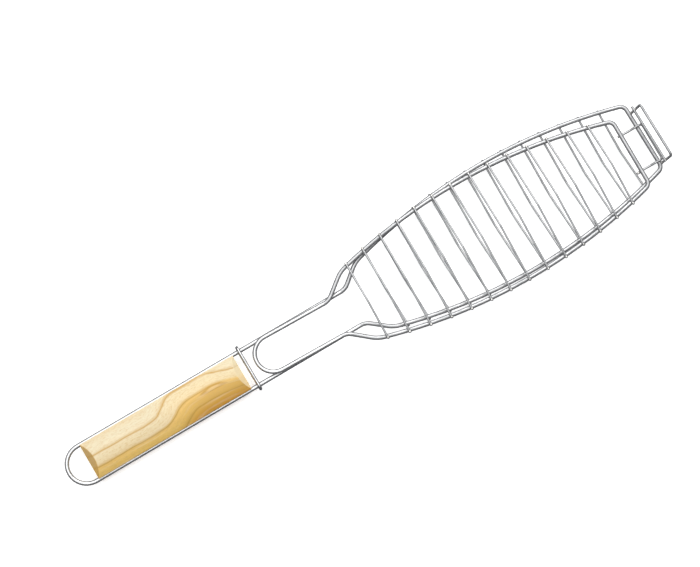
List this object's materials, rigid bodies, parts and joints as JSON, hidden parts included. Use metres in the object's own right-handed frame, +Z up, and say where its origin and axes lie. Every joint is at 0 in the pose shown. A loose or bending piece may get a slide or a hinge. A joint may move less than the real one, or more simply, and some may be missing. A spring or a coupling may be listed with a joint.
{
  "type": "grill basket",
  "caption": "Hinged wire basket with a wooden grip that holds a fish flat over a grill; a ring slides along the neck to lock the lid.",
  "frame": {"origin": "on the surface that the basket stands on, midway along its length, on the base's centre line", "axes": "+X along the basket from the hanging loop to the hinge, +Y across it, +Z up"},
  "size_m": [0.6002, 0.1157, 0.04],
  "materials": {
    "frame_wire": "bright plated, smooth",
    "thin_wire": "bright plated, smooth",
    "pine": "sanded, unvarnished"
  },
  "bodies": {
    "base": {"base_neck": "frame_wire", "base_outline": "frame_wire", "base_cross_wire_01": "thin_wire", "base_cross_wire_02": "thin_wire", "base_cross_wire_03": "thin_wire", "base_cross_wire_04": "thin_wire", "base_cross_wire_05": "thin_wire", "base_cross_wire_06": "thin_wire", "base_cross_wire_07": "thin_wire", "base_cross_wire_08": "thin_wire", "base_cross_wire_09": "thin_wire", "base_cross_wire_10": "thin_wire", "base_cross_wire_11": "thin_wire", "base_cross_wire_12": "thin_wire", "base_cross_wire_13": "thin_wire", "base_cross_wire_14": "thin_wire", "ladder_hoop": "thin_wire", "ladder_rung": "thin_wire", "grip": "pine"},
    "lid": {"lid_neck": "frame_wire", "lid_outline": "frame_wire", "lid_cross_wire_01": "thin_wire", "lid_cross_wire_02": "thin_wire", "lid_cross_wire_03": "thin_wire", "lid_cross_wire_04": "thin_wire", "lid_cross_wire_05": "thin_wire", "lid_cross_wire_06": "thin_wire", "lid_cross_wire_07": "thin_wire", "lid_cross_wire_08": "thin_wire", "lid_cross_wire_09": "thin_wire", "lid_cross_wire_10": "thin_wire", "lid_cross_wire_11": "thin_wire", "lid_cross_wire_12": "thin_wire", "lid_cross_wire_13": "thin_wire", "lid_cross_wire_14": "thin_wire", "lid_bail": "thin_wire"},
    "ring": {"lock_ring": "thin_wire"}
  },
  "joints": [
    {"name": "lid_hinge", "type": "hinge", "parent": "base", "child": "lid", "pos_m": [0.29439, 0, 0.01076], "axis": [0, 1, 0], "range_deg": [0, 75]},
    {"name": "ring_slide", "type": "slide", "parent": "base", "child": "ring", "axis": [1, 0, 0], "range_m": [-0.003, 0.08]}
  ]
}
